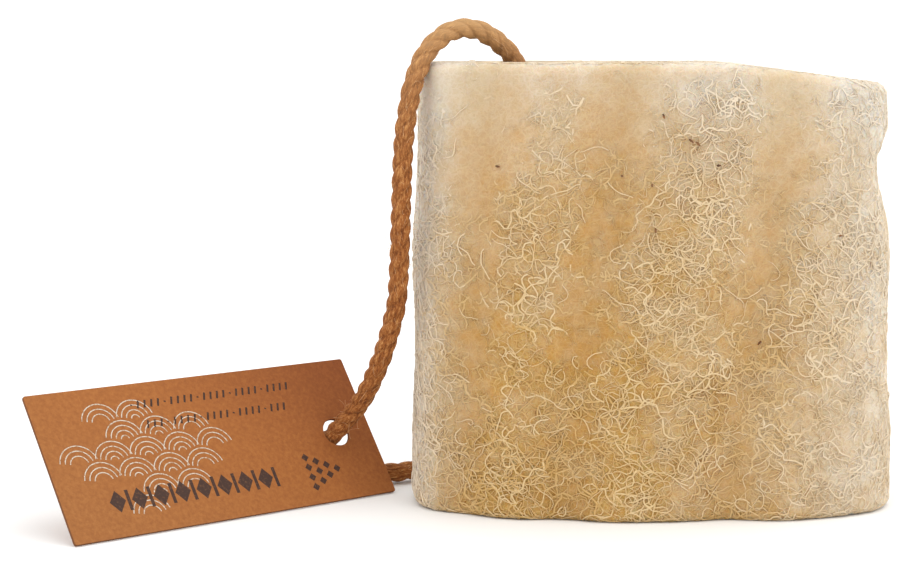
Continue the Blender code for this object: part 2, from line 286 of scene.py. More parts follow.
lowerRoute = (
    (-0.0365, 0.0275, 0.0080), (-0.0365, 0.0190, 0.0080), (-0.0364, 0.0122, 0.0081),
    (-0.0361, 0.0084, 0.0089), (-0.0357, 0.0055, 0.0109), (-0.0353, 0.0036, 0.0139),
    (-0.0350, 0.0026, 0.0180), (-0.0347, 0.0013, 0.0255), (-0.0345, 0.0005, 0.0350),
)
upperRoute = (
    (-0.0345, 0.0005, 0.0450), (-0.0344, 0.0004, 0.0600), (-0.0345, 0.0002, 0.0800),
    (-0.0350, -0.0002, 0.0980), (-0.0359, -0.0005, 0.1080), (-0.0366, -0.0008, 0.1152),
)
knot = {"place": (-0.0345, 0.0005, 0.0400), "turnRadius": 0.0034, "rise": 0.0030, "points": 60, "thin": 0.62}


def smoothRoute(points, step):
    guide = [Vector(p) for p in points]
    ends = [guide[0] * 2 - guide[1]] + guide + [guide[-1] * 2 - guide[-2]]
    fine, fineSteps = [], 24
    for a, b, c, d in zip(ends, ends[1:], ends[2:], ends[3:]):
        fine += [smoothBetween(a, b, c, d, i / fineSteps) for i in range(fineSteps)]
    fine.append(guide[-1])
    run = [0.0]
    for a, b in zip(fine, fine[1:]):
        run.append(run[-1] + (b - a).length)
    count = max(2, round(run[-1] / step))
    spaced, k = [], 0
    for i in range(count + 1):
        target = run[-1] * i / count
        while k < len(run) - 2 and run[k + 1] < target:
            k += 1
        t = (target - run[k]) / max(run[k + 1] - run[k], 1e-12)
        spaced.append(fine[k].lerp(fine[k + 1], t))
    return spaced


def routeFrames(points):
    # direction and two side vectors at each point, carried along without twisting
    frames, side = [], None
    for i, p in enumerate(points):
        ahead = (points[min(i + 1, len(points) - 1)] - points[max(i - 1, 0)]).normalized()
        if side is None:
            side = ahead.orthogonal().normalized()
        side = (side - ahead * side.dot(ahead)).normalized()
        frames.append((ahead, side, ahead.cross(side)))
    return frames


def ropeRadius(angle):
    # half width of the three-strand profile at this angle from a strand's middle
    third = 2.0 * math.pi / 3.0
    away = (angle + third / 2) % third - third / 2
    offset, strand = cord["strandOffset"], cord["strandRadius"]
    return offset * math.cos(away) + math.sqrt(max(strand ** 2 - (offset * math.sin(away)) ** 2, 1e-9))


def ropeTube(name, points, mat, scale=1.0):
    frames = routeFrames(points)
    count = cord["ringPoints"]
    bm = bmesh.new()
    space = bm.verts.layers.float_vector.new("cordSpace")
    ring = bmesh.ops.create_circle(bm, cap_ends=False, segments=count, radius=1.0)["verts"]
    turns = [math.atan2(v.co.y, v.co.x) for v in ring]
    along = 0.0
    for i, p in enumerate(points):
        if i:
            along += (p - points[i - 1]).length
            edges = [e for e in {e for v in ring for e in v.link_edges} if all(v in lastRing for v in e.verts)]
            grown = bmesh.ops.extrude_edge_only(bm, edges=edges)["geom"]
            fresh = [g for g in grown if isinstance(g, bmesh.types.BMVert)]
            byPlace = {tuple(round(c, 9) for c in v.co): k for k, v in enumerate(ring)}
            ordered = [None] * count
            for v in fresh:
                ordered[byPlace[tuple(round(c, 9) for c in v.co)]] = v
            ring = ordered
        lastRing = set(ring)
        ahead, side, up = frames[i]
        lay = 2.0 * math.pi * along / cord["pitch"]
        for v, turn in zip(ring, turns):
            strand = int(((turn - lay) % (2 * math.pi)) // (2 * math.pi / 3))
            wobble = noise.noise(Vector((along / cord["wobbleLength"], strand * 9.1, turn * 0.6)))
            fine = noise.noise(Vector((math.cos(turn) * 3.0, math.sin(turn) * 3.0, along / cord["fineLength"])))
            radius = (ropeRadius(turn - lay) + cord["unevenness"] * (wobble + 0.6 * fine)) * scale
            radius = min(radius, cord["diameter"] * cord["widest"])
            v.co = p + (side * math.cos(turn) + up * math.sin(turn)) * radius
            v[space] = (math.cos(turn) * radius, math.sin(turn) * radius, along)
    bmesh.ops.holes_fill(bm, edges=[e for e in bm.edges if e.is_boundary], sides=0)
    bmesh.ops.recalc_face_normals(bm, faces=bm.faces)
    return pieceFromBmesh(name, bm, mat)


def juteMaterial():
    mat, tree, shader = newMaterial("juteCord")
    space = addNode(tree, "ShaderNodeAttribute", attribute_name="cordSpace")
    streaks = addNode(tree, "ShaderNodeMapping")
    streaks.inputs["Scale"].default_value = (1.0, 1.0, 0.16)   # drawn out along the cord
    link(tree, space.outputs["Vector"], streaks.inputs["Vector"])
    fine = noiseAt(tree, streaks.outputs["Vector"], 5200.0, 2.0, 0.6)
    broad = noiseAt(tree, streaks.outputs["Vector"], 1500.0, 3.0, 0.6)
    patch = noiseAt(tree, space.outputs["Vector"], 260.0, 3.0, 0.6)
    radius = addNode(tree, "ShaderNodeVectorMath", operation="LENGTH")
    flat = addNode(tree, "ShaderNodeVectorMath", operation="MULTIPLY")
    flat.inputs[1].default_value = (1.0, 1.0, 0.0)
    link(tree, space.outputs["Vector"], flat.inputs[0])
    link(tree, flat.outputs["Vector"], radius.inputs[0])
    depth = mathOf(tree, "DIVIDE", mathOf(tree, "SUBTRACT", radius.outputs["Value"], cord["grooveFrom"]),
                   cord["grooveDepth"], clamp=True)
    body = ramp(tree, weighted(tree, (fine, 0.45), (broad, 0.55)),
                ((0.37, srgb(80, 39, 13)), (0.50, srgb(147, 86, 37)), (0.64, srgb(202, 147, 88))))
    tinted = mixColour(tree, mathOf(tree, "MULTIPLY", patch, 0.50), body, srgb(133, 72, 27))
    parts = addNode(tree, "ShaderNodeSeparateXYZ")
    link(tree, objectPlace(tree), parts.inputs["Vector"])
    # paler towards the top of the loop
    climb = mathOf(tree, "DIVIDE", parts.outputs["Z"], cord["paleTopHeight"], clamp=True)
    towardsTop = mathOf(tree, "POWER", climb, 9.0)
    tinted = mixColour(tree, mathOf(tree, "MULTIPLY", towardsTop, 0.65), tinted, srgb(194, 158, 110))
    # painted shade: the colour darkens down in the grooves between the strands
    groove = ramp(tree, depth, ((0.0, (0.22, 0.18, 0.15)), (0.45, (0.72, 0.66, 0.60)), (0.8, (1.0, 1.0, 1.0))))
    height = weighted(tree, (fine, 1.0), (broad, 1.6))
    dress(tree, shader, mixColour(tree, 1.0, tinted, groove, "MULTIPLY"), bumpFrom(tree, height, 0.75, 0.00028),
          Roughness=0.82, Specular_IOR_Level=0.25, Sheen_Weight=0.12, Sheen_Tint=(*srgb(226, 176, 120), 1.0))
    return mat


def fuzzMaterial():
    mat, tree, shader = newMaterial("juteFuzz")
    tone = noiseAt(tree, objectPlace(tree), 420.0, 2.0)
    dress(tree, shader, ramp(tree, tone, ((0.3, srgb(176, 122, 76)), (0.7, srgb(226, 188, 142)))), Roughness=0.75)
    return mat


def cordFuzz(points, mat):
    rng = random.Random(cord["seed"])
    frames = routeFrames(points)
    strands = []
    for _ in range(cord["fuzzCount"]):
        i = rng.randrange(3, len(points) - 4)
        ahead, side, up = frames[i]
        turn = rng.uniform(0, 2 * math.pi)
        out = side * math.cos(turn) + up * math.sin(turn)
        place = points[i] + out * cord["diameter"] * 0.44
        heading = (ahead * rng.choice((-1, 1)) + out * rng.uniform(0.03, 0.40)).normalized()
        curl = Vector((rng.gauss(0, 1), rng.gauss(0, 1), rng.gauss(0, 1) - 0.3)) * 0.16
        steps = rng.randint(4, 7)
        run = []
        for k in range(steps):
            run.append(place.copy())
            heading = (heading + curl).normalized()
            place = place + heading * rng.uniform(0.0005, 0.0009)
        if min(p.z for p in run) > 0.0004:
            strands.append((run, [1.0 - 0.5 * k / steps for k in range(steps)]))
    return fibreCurves("cordFuzz", strands, cord["fuzzThickness"], mat)


jute = juteMaterial()
juteFuzz = fuzzMaterial()
cordPoints = smoothRoute(cordRoute, cord["ringStep"])
rope = finishPiece(ropeTube("hangingCord", cordPoints, jute), "cord")
fuzz = finishPiece(cordFuzz(cordPoints, juteFuzz))
print("cord made, metres:", round(sum((b - a).length for a, b in zip(cordPoints, cordPoints[1:])), 4))

for name, route, node in (("cordInsideLow", lowerRoute, "cord_lower_run"),
                          ("cordInsideHigh", upperRoute, "cord_upper_run")):
    finishPiece(ropeTube(name, smoothRoute(route, cord["innerStep"]), jute), node)


def knotRoute():
    # a pulled-tight overhand knot: a closed three-lobed turn, cut open where its ends meet
    points = []
    for k in range(knot["points"]):
        t = 2 * math.pi * k / (knot["points"] - 1) * 0.965
        r = knot["turnRadius"] * (1.0 + 0.42 * math.cos(3 * t))
        points.append(Vector(knot["place"]) + Vector((r * math.cos(2 * t), r * math.sin(2 * t),
                                                      knot["rise"] * math.sin(3 * t) * 0.55)))
    return points


finishPiece(ropeTube("closingKnot", knotRoute(), jute, scale=knot["thin"]), "cord_knot")
print("inner cord and knot made")


# block form, the solid's with a deeper dent under the upper right lip

block = {
    "halfWidth": 0.0655, "halfDepth": 0.0325, "height": 0.1200, "ovalPower": 2.7,
    "leftNarrowing": 0.012, "rightNarrowing": 0.044, "depthNarrowing": 0.012,
    "topSlopeStart": 0.018, "topSlope": 0.13,
    "rimLow": 0.0026, "rimHigh": 0.0030,
    "frontGrooves": ((-0.0470, -0.0530), (-0.0090, -0.0265), (0.0343, 0.0195)),
    "backGrooves": (0.045, 0.150, 0.255, 0.365, 0.470), "backTwist": 0.045,
    "grooveDepth": 0.0026, "grooveHalf": 0.0085,
    "swell": 0.0011, "swellAround": 2.2, "swellHeight": 0.028,
    "dentDepth": 0.0050, "dentHeight": 0.0975, "dentAbove": 0.0062, "dentBelow": 0.0125, "dentShare": 0.055,
    "skinDrop": -0.0002, "reliefFade": 0.016,
}
channels = (      # middle x and y, half width and half depth
    (-0.0400, 0.0000, 0.0125, 0.0115),
    (0.0005, 0.0010, 0.0110, 0.0120),
    (0.0395, 0.0000, 0.0120, 0.0112),
)
channelPower = 2.4
cordHole = {"x": -0.0365, "z": 0.0080, "clear": 0.0036, "radius": 0.0032, "middle": 0.0225, "depth": 0.034}
ovalPoints = 720
insetStep, insetLevels = 0.002, 16


def evenOval(halfWidth, halfDepth):
    # evenly spaced points round the oval, each with its outward direction, and the length round it
    fine, power, raw = 2 * ovalPoints, 2.0 / block["ovalPower"], []
    for i in range(fine + 1):
        a = 2.0 * math.pi * i / fine
        c, s = math.cos(a), math.sin(a)
        raw.append(Vector((halfWidth * math.copysign(abs(c) ** power, c),
                           halfDepth * math.copysign(abs(s) ** power, s))))
    run = [0.0]
    for a, b in zip(raw, raw[1:]):
        run.append(run[-1] + (b - a).length)
    points, k = [], 0
    for i in range(ovalPoints):
        target = run[-1] * i / ovalPoints
        while run[k + 1] < target:
            k += 1
        points.append(raw[k].lerp(raw[k + 1], (target - run[k]) / max(run[k + 1] - run[k], 1e-12)))
    out = []
    for i, p in enumerate(points):
        along = points[(i + 1) % ovalPoints] - points[i - 1]
        out.append((p, Vector((along.y, -along.x)).normalized()))
    return out, run[-1]


ovals = [evenOval(block["halfWidth"] - insetStep * k, block["halfDepth"] - insetStep * k)[0]
         for k in range(insetLevels)]
wallLength = evenOval(block["halfWidth"], block["halfDepth"])[1]


def ovalAt(share, inset):
    place = (share % 1.0) * ovalPoints
    i = int(place) % ovalPoints
    j, t = (i + 1) % ovalPoints, place - int(place)
    level = min(max(inset / insetStep, 0.0), len(ovals) - 1.001)
    k, w = int(level), level - int(level)
    a = ovals[k][i][0].lerp(ovals[k][j][0], t)
    b = ovals[k + 1][i][0].lerp(ovals[k + 1][j][0], t)
    return a.lerp(b, w), ovals[k][i][1].lerp(ovals[k][j][1], t).normalized()


def shareOfFrontX(x):
    return min(range(ovalPoints // 2, ovalPoints), key=lambda i: abs(ovals[0][i][0].x - x)) / ovalPoints


grooves = [(shareOfFrontX(low), shareOfFrontX(high)) for high, low in block["frontGrooves"]]
grooves += [(share - block["backTwist"] * 0.5, share + block["backTwist"] * 0.5) for share in block["backGrooves"]]


def wallRelief(share, height):
    rise = height / block["height"]
    total = 0.0
    for low, high in grooves:
        away = (share - (low + (high - low) * rise) + 0.5) % 1.0 - 0.5
        total -= block["grooveDepth"] * math.exp(-((away * wallLength / block["grooveHalf"]) ** 2))
    fromRight = (share + 0.5) % 1.0 - 0.5
    half = block["dentAbove"] if height > block["dentHeight"] else block["dentBelow"]
    dent = math.exp(-((height - block["dentHeight"]) / half) ** 2 - (fromRight / block["dentShare"]) ** 2)
    angle = 2.0 * math.pi * share
    around = block["swellAround"]
    spot = Vector((around * math.cos(angle), around * math.sin(angle), height / block["swellHeight"]))
    return total - block["dentDepth"] * dent + block["swell"] * noise.noise(spot)


def topHeight(x):
    return block["height"] - block["topSlope"] * max(0.0, x - block["topSlopeStart"])


def profileAt(travel):
    # inset, height and slope for a way that starts on the lower cut, climbs the wall and ends on the upper cut
    low, high, tall = block["rimLow"], block["rimHigh"], block["height"]
    arcLow, arcHigh = low * math.pi / 2, high * math.pi / 2
    wall = tall - low - high
    if travel < 0.0:
        return low - travel, 0.0, -math.pi / 2
    if travel < arcLow:
        t = travel / low
        return low * (1 - math.sin(t)), low * (1 - math.cos(t)), t - math.pi / 2
    travel -= arcLow
    if travel < wall:
        return 0.0, low + travel, 0.0
    travel -= wall
    if travel < arcHigh:
        t = travel / high
        return high * (1 - math.cos(t)), tall - high * (1 - math.sin(t)), t
    return high + (travel - arcHigh), tall, math.pi / 2


profileLength = (block["height"] - block["rimLow"] - block["rimHigh"]
                 + (block["rimLow"] + block["rimHigh"]) * math.pi / 2)


def skinPoint(share, travel, sink):
    # a place on the block's skin, sink metres under it. travel runs from the lower cut to the upper one
    inset, height, slope = profileAt(travel)
    flat, out = ovalAt(share, inset)
    rise = height / block["height"]
    flat = flat + out * wallRelief(share, height) * (1.0 - min(1.0, inset / block["reliefFade"]))
    x = flat.x * (1.0 - (block["rightNarrowing"] if flat.x > 0.0 else block["leftNarrowing"]) * rise)
    y = flat.y * (1.0 - block["depthNarrowing"] * rise)
    face = Vector((out.x * math.cos(slope), out.y * math.cos(slope), math.sin(slope)))
    return Vector((x, y, rise * topHeight(x))) - face * (sink + block["skinDrop"]), face


def inChannel(x, y, margin=0.0):
    return any(abs((x - cx) / (hw + margin)) ** channelPower + abs((y - cy) / (hd + margin)) ** channelPower < 1.0
               for cx, cy, hw, hd in channels)


# where the net lies sunk in the matted skin: a start and a length in metres, and each cause's share
matted = {
    "furrowFoot": 0.02, "furrowRise": 1.05,
    "highFrom": 0.58, "highSlant": 0.55, "highShare": 1.7,
    "rim": (0.109, 0.011), "rimShare": 0.6,
    "side": (0.056, 0.008), "sideShare": 0.1,
    "right": (0.028, 0.026), "rightShare": 0.30,
    "patchScale": 52.0, "patchShare": 0.36, "less": 0.06,
}
halfSpan = 0.065      # half the block's width, for what changes from left to right


def past(value, span):
    return max(0.0, (value - span[0]) / span[1])


def calm(p, furrow):
    # 1 where the net is sunk: in the furrows, high on the left, along the rims, to the right, in patches
    rise = min(1.0, max(0.0, p.z / block["height"]))
    high = rise - matted["highFrom"] - matted["highSlant"] * (p.x + halfSpan) / (2 * halfSpan) if p.y < 0.0 else 0.0
    total = furrow * (matted["furrowFoot"] + matted["furrowRise"] * rise) + matted["highShare"] * max(0.0, high)
    total = total + matted["rimShare"] * past(p.z, matted["rim"]) + matted["sideShare"] * past(abs(p.x), matted["side"])
    total = total + matted["rightShare"] * min(1.0, past(p.x, matted["right"]))
    return min(1.0, max(0.0, total + matted["patchShare"] * noise.noise(p * matted["patchScale"]) - matted["less"]))


# materials of the loofah

# colour changes over the block, partly painted light on its top and sides
blockToneAndLight = {
    "climb": 0.62, "climbPower": 6.0, "height": 0.15,
    "right": 0.72, "rightPower": 3.5, "left": 0.95, "leftPower": 15.0,
    "blotch": 0.60, "blotchScale": 30.0, "fleck": 0.7, "fleckScale": 170.0, "least": 0.02,
}


def loofahToneAndLightGroup():
    # broad changes of colour over the block: paler towards the top and both sides and deeper between, part bleaching
    # and part painted light and shade
    group, inside, outside = newGroup("loofahTone", (("Deep", "Color"), ("Pale", "Color")), ("Color", "Color"))
    place = addNode(group, "ShaderNodeTexCoord").outputs["Object"]
    parts = addNode(group, "ShaderNodeSeparateXYZ")
    link(group, place, parts.inputs["Vector"])
    height = mathOf(group, "DIVIDE", parts.outputs["Z"], block["height"])
    across = mathOf(group, "DIVIDE", mathOf(group, "ADD", parts.outputs["X"], halfSpan), 2 * halfSpan)
    # the top and both sides are made paler partly as painted light, partly for bleaching
    climb, rightward, leftward = (
        mathOf(group, "POWER", mathOf(group, "MAXIMUM", value, 0.0), blockToneAndLight[power]) for value, power in (
            (height, "climbPower"), (across, "rightPower"), (mathOf(group, "SUBTRACT", 1.0, across), "leftPower")))
    blotch, fleck = (mathOf(group, "SUBTRACT", noiseAt(group, place, blockToneAndLight[scale], 3.0, 0.6), 0.5)
                     for scale in ("blotchScale", "fleckScale"))
    total = weighted(group, (climb, blockToneAndLight["climb"]), (height, blockToneAndLight["height"]), (rightward, blockToneAndLight["right"]),
                     (leftward, blockToneAndLight["left"]), (blotch, blockToneAndLight["blotch"]), (fleck, blockToneAndLight["fleck"]))
    mixed = mixColour(group, mathOf(group, "ADD", total, blockToneAndLight["least"], clamp=True),
                      inside.outputs["Deep"], inside.outputs["Pale"])
    link(group, mixed, outside.inputs["Color"])
    return group


def netLinesGroup():
    # lines of a fine net in space, with bent strands: 1 on a strand, 0 in a cell
    group, inside, outside = newGroup("netLines", (("Scale", "Float"), ("Width", "Float")), ("Mask", "Float"))
    place = addNode(group, "ShaderNodeTexCoord").outputs["Object"]
    bend = addNode(group, "ShaderNodeTexNoise")
    setInputs(bend, Scale=420.0, Detail=2.0)
    link(group, place, bend.inputs["Vector"])
    shift = addNode(group, "ShaderNodeVectorMath", operation="MULTIPLY_ADD")
    shift.inputs[1].default_value = (0.0030, 0.0030, 0.0030)
    link(group, bend.outputs["Color"], shift.inputs[0])
    link(group, place, shift.inputs[2])
    cells = addNode(group, "ShaderNodeTexVoronoi", feature="DISTANCE_TO_EDGE")
    link(group, shift.outputs["Vector"], cells.inputs["Vector"])
    link(group, inside.outputs["Scale"], cells.inputs["Scale"])
    near = mathOf(group, "DIVIDE", cells.outputs["Distance"], inside.outputs["Width"], clamp=True)
    link(group, mathOf(group, "SUBTRACT", 1.0, near), outside.inputs["Mask"])
    return group


toneGroup = loofahToneAndLightGroup()
netLines = netLinesGroup()


def toneBetween(tree, deep, pale):
    node = addNode(tree, "ShaderNodeGroup", node_tree=toneGroup)
    setInputs(node, Deep=(*deep, 1.0), Pale=(*pale, 1.0))
    return node.outputs["Color"]


def fibreMaterial(name, deep, pale):
    mat, tree, shader = newMaterial(name)
    grain = noiseAt(tree, objectPlace(tree), 1300.0, 2.0)
    colour = mixColour(tree, mathOf(tree, "MULTIPLY", grain, 0.30), toneBetween(tree, deep, pale),
                       tuple(c * 0.80 for c in deep))
    dress(tree, shader, colour, bumpFrom(tree, grain, 0.3, 0.0001), Roughness=0.70, Specular_IOR_Level=0.20)
    return mat


def coreMaterial():
    # the matted skin seen between the fibres: its own finer tangle, golden in the cells and pale on the strands
    mat, tree, shader = newMaterial("loofahCore")
    masks = []
    for scale, width in core["lines"]:
        lines = addNode(tree, "ShaderNodeGroup", node_tree=netLines)
        setInputs(lines, Scale=scale, Width=width)
        masks.append(lines.outputs["Mask"])
    groove = addNode(tree, "ShaderNodeAttribute", attribute_name="groove")
    grain = noiseAt(tree, objectPlace(tree), 1500.0, 3.0, 0.6)
    strand = mathOf(tree, "MAXIMUM", masks[0], mathOf(tree, "MULTIPLY", masks[1], 0.75))
    strand = mathOf(tree, "MULTIPLY", strand, mathOf(tree, "SUBTRACT", 1.0, mathOf(
        tree, "MULTIPLY", groove.outputs["Fac"], 0.35)))
    colour = mixColour(tree, strand, *(toneBetween(tree, deep, pale) for deep, pale in core["tones"]))
    # painted shade: darker and yellower in the furrows, for their depth; the same darkening also falls on the cut faces
    colour = mixColour(tree, mathOf(tree, "MULTIPLY", groove.outputs["Fac"], 0.62), colour,
                       (0.86, 0.76, 0.56), "MULTIPLY")
    colour = mixColour(tree, mathOf(tree, "MULTIPLY", grain, 0.22), colour, (0.60, 0.50, 0.40), "MULTIPLY")
    height = weighted(tree, (strand, 1.0), (grain, 0.35))
    dress(tree, shader, colour, bumpFrom(tree, height, 0.30, 0.0004), Roughness=0.78, Specular_IOR_Level=0.25,
          Subsurface_Weight=0.75, Subsurface_Radius=core["glow"], Subsurface_Scale=1.0)
    return mat


core = {
    "columns": 400, "rowStep": 0.00092, "capReach": 0.0285, "sink": 0.00043, "tangle": 0.00028,
    "channelSides": 40, "channelRings": 30, "channelPast": 0.006, "furrowHalf": 0.0112, "furrowFade": 0.010,
    "strandScale": 430.0, "lumpScale": 150.0, "capFrom": 0.003,
    "lines": ((430.0, 0.105), (800.0, 0.13)),      # scale and width of the two nets in its colour
    "glow": (0.0040, 0.0026, 0.0014),
    "tones": ((srgb(184, 141, 75), srgb(207, 195, 176)), (srgb(200, 165, 104), srgb(215, 207, 194))),
}


def extrudeRings(bm, count, rings):
    # a round sleeve of unit radius, one ring a unit above the last
    bmesh.ops.create_circle(bm, cap_ends=False, segments=count, radius=1.0)
    edges = list(bm.edges)
    for _ in range(rings):
        grown = bmesh.ops.extrude_edge_only(bm, edges=edges)["geom"]
        fresh = {g for g in grown if isinstance(g, bmesh.types.BMVert)}
        bmesh.ops.translate(bm, verts=list(fresh), vec=(0.0, 0.0, 1.0))
        edges = [g for g in grown if isinstance(g, bmesh.types.BMEdge) and fresh.issuperset(g.verts)]


def coreBlock(mat):
    rings = round((profileLength + 2 * core["capReach"]) / core["rowStep"])
    bm = bmesh.new()
    grooveLayer = bm.verts.layers.float.new("groove")
    extrudeRings(bm, core["columns"], rings)
    for v in bm.verts:
        share = math.atan2(v.co.y, v.co.x) / (2 * math.pi)
        travel = -core["capReach"] + (profileLength + 2 * core["capReach"]) * v.co.z / rings
        p, face = skinPoint(share, travel, core["sink"])
        strand = 1.0 - abs(noise.noise(p * core["strandScale"])) * 3.0
        lump = noise.noise(p * core["lumpScale"])
        cut = min(0.9, past(profileAt(travel)[0], (core["capFrom"], core["capFrom"])))
        still = 0.0 if cut else calm(p, furrowShare(share, travel))
        # the groove value marks the furrows, which get painted shade in the colour, and the cut faces
        v[grooveLayer] = max(furrowShare(share, travel), cut)
        v.co = p + face * core["tangle"] * ((0.7 * strand + 0.8 * lump - 0.5) * (1.0 - 0.60 * still) + 0.10 * still)
    foot = [e for e in bm.edges if e.is_boundary and e.verts[0].co.z < 0.05]
    head = [e for e in bm.edges if e.is_boundary and e.verts[0].co.z > 0.05]
    bmesh.ops.edgeloop_fill(bm, edges=foot)
    bmesh.ops.edgeloop_fill(bm, edges=head)
    bmesh.ops.triangulate(bm, faces=[f for f in bm.faces if len(f.verts) > 4])
    bmesh.ops.recalc_face_normals(bm, faces=bm.faces)
    obj = pieceFromBmesh("loofahCore", bm, mat)
    for cutter in [channelBore(i) for i in range(len(channels))] + [cordBore()]:
        boolean = obj.modifiers.new(cutter.name, "BOOLEAN")
        boolean.operation, boolean.solver, boolean.object = "DIFFERENCE", "EXACT", cutter
        bpy.context.view_layer.objects.active = obj
        bpy.ops.object.modifier_apply(modifier=boolean.name)
        bpy.data.objects.remove(cutter, do_unlink=True)
    obj.data.shade_smooth()
    return obj


def furrowShare(share, travel):
    # 1 in the middle of a furrow between two ribs, 0 on a rib
    inset, height = profileAt(travel)[:2]
    rise, total = height / block["height"], 0.0
    for low, high in grooves:
        away = (share - (low + (high - low) * rise) + 0.5) % 1.0 - 0.5
        total += math.exp(-((away * wallLength / core["furrowHalf"]) ** 2))
    return min(1.0, total) * (1.0 - min(1.0, inset / core["furrowFade"]))


def channelPoint(index, angle, height, grow):
    # a place on a channel's wall, grow metres further out
    cx, cy, halfWidth, halfDepth = channels[index]
    c, s = math.cos(angle), math.sin(angle)
    swell = 0.0008 * noise.noise(Vector((1.5 * c, 1.5 * s, height / 0.03 + 7.3 * index))) + grow
    power = 2.0 / channelPower
    return Vector((cx + (halfWidth + swell) * math.copysign(abs(c) ** power, c),
                   cy + (halfDepth + swell) * math.copysign(abs(s) ** power, s), height))


def channelBore(index):
    bm = bmesh.new()
    extrudeRings(bm, core["channelSides"], core["channelRings"])
    bmesh.ops.holes_fill(bm, edges=[e for e in bm.edges if e.is_boundary], sides=0)
    for v in bm.verts:
        height = -core["channelPast"] + (block["height"] + 2 * core["channelPast"]) * v.co.z / core["channelRings"]
        angle = math.atan2(v.co.y, v.co.x)
        rough = 0.0005 * noise.noise(Vector((v.co.x * 5.0, v.co.y * 5.0, height * 260.0)))
        v.co = channelPoint(index, angle, height, 0.0006 + rough)
    bmesh.ops.recalc_face_normals(bm, faces=bm.faces)
    return pieceFromBmesh("channelBore", bm, loofahCoreMat)


def cordBore():
    bm = bmesh.new()
    bmesh.ops.create_cone(bm, cap_ends=True, segments=20, radius1=cordHole["radius"], radius2=cordHole["radius"],
                          depth=cordHole["depth"])
    place = Matrix.Translation((cordHole["x"], cordHole["middle"], cordHole["z"]))
    bmesh.ops.transform(bm, matrix=place @ Matrix.Rotation(math.radians(90), 4, "X"), verts=bm.verts)
    return pieceFromBmesh("cordBore", bm, loofahCoreMat)


loofahCoreMat = coreMaterial()
loofah = finishPiece(coreBlock(loofahCoreMat), "loofah")
print("loofah core made:", len(loofah.data.polygons), "faces")


# fibre net: strands that run from knot to knot over the skin, in two layers, with loose hairs on top

# the furrow tones are darker and yellower than the rib tones: painted shade in the furrows
net = {
    "middleNet": {
        "cell": 0.0018, "strands": 4200, "steps": 6, "parts": 2, "sink": (0.00027, 0.00047), "thick": 0.00028,
        "settle": 0.0003, "seed": 3,
        "rib": (srgb(200, 166, 111), srgb(215, 205, 188)), "furrow": (srgb(192, 154, 94), srgb(211, 195, 167)),
    },
    "outerNet": {
        "cell": 0.0023, "strands": 4600, "steps": 5, "parts": 3, "sink": (0.00026, 0.00045), "thick": 0.00032,
        "settle": 0.0004, "seed": 11,
        "rib": (srgb(209, 181, 133), srgb(221, 211, 196)), "furrow": (srgb(194, 158, 99), srgb(213, 197, 170)),
    },
}
ways = {"reach": 0.0290, "jitter": 0.42, "wander": 2.2, "sharpest": 2.0, "follow": 0.55, "bow": 0.26}
hairs = {"count": 700, "steps": (6, 10), "step": 0.0010, "thick": 0.00025, "seed": 29,
         "tones": (srgb(208, 180, 133), srgb(224, 213, 195))}
inner = {"count": 420, "steps": (6, 11), "step": 0.0012, "sink": (0.0001, 0.0007), "thick": 0.00036, "seed": 47,
         "tones": (srgb(203, 172, 124), srgb(222, 206, 180))}


def netKnots(layer, rng):
    reach, jitter = ways["reach"], ways["jitter"]
    columns = round(wallLength / layer["cell"])
    rows = round((profileLength + 2 * reach) / layer["cell"])
    return columns, rows, {
        (i, j): ((i + 0.5 * (j % 2) + rng.uniform(-jitter, jitter)) / columns,
                 -reach + (profileLength + 2 * reach) * (j + 0.5 + rng.uniform(-jitter, jitter)) / rows,
                 rng.uniform(*layer["sink"]))
        for i in range(columns) for j in range(rows)}


def netWalks(layer, rng, columns, rows):
    # ways from knot to knot that seldom share a stretch, so that the strands part and meet as in a net
    used, walks = set(), []
    around = [(di, dj) for di in (-1, 0, 1) for dj in (-1, 0, 1) if di or dj]
    for _ in range(layer["strands"]):
        here = (rng.randrange(columns), rng.randrange(rows))
        heading = rng.gauss(0.0, 0.8) + rng.choice((0.0, math.pi))
        walk = [here]
        for _ in range(layer["steps"]):
            best = None
            for di, dj in around:
                there = ((here[0] + di) % columns, here[1] + dj)
                if not 0 <= there[1] < rows or there in walk or frozenset((here, there)) in used:
                    continue
                turn = abs((math.atan2(dj, di) - heading + math.pi) % (2 * math.pi) - math.pi)
                cost = turn + rng.uniform(0.0, ways["wander"])
                if turn < ways["sharpest"] and (best is None or cost < best[0]):
                    best = (cost, there, math.atan2(dj, di))
            if best is None:
                break
            used.add(frozenset((here, best[1])))
            here = best[1]
            heading += ways["follow"] * ((best[2] - heading + math.pi) % (2 * math.pi) - math.pi)
            walk.append(here)
        if len(walk) >= 3:
            walks.append(walk)
    return walks


def bentThrough(knots, parts, rng):
    # a smooth way through the knots that bows out to one side or the other between them
    ends = [knots[0] * 2 - knots[1]] + knots + [knots[-1] * 2 - knots[-2]]
    fine = []
    for a, b, c, d in zip(ends, ends[1:], ends[2:], ends[3:]):
        side = Vector((-(c.y - b.y) / wallLength, (c.x - b.x) * wallLength, 0.0)) * rng.gauss(0.0, ways["bow"])
        fine += [smoothBetween(a, b, c, d, i / parts) + side * math.sin(math.pi * i / parts) for i in range(parts)]
    return fine + [knots[-1]]


def onSkin(places, settle, rng):
    # lays a strand on the skin and leaves out what would hang over a channel or the cord's hole
    run, runs = [], []
    for place in places:
        p, face = skinPoint(place.x, place.y, place.z)
        onCap = place.y < 0.001 or place.y > profileLength - 0.001
        p = p - face * settle * (0.1 if onCap else calm(p, furrowShare(place.x, place.y)))
        p.z = max(p.z, 0.00035)
        atHole = p.y > 0.02 and math.hypot(p.x - cordHole["x"], p.z - cordHole["z"]) < cordHole["clear"]
        if atHole or (onCap and inChannel(p.x, p.y, 0.0004)):
            runs.append(run)
            run = []
        else:
            run.append(p)
    runs.append(run)
    width = rng.uniform(0.65, 1.30)
    return [(points, [width * rng.uniform(0.9, 1.1) for _ in points]) for points in runs if len(points) >= 4]


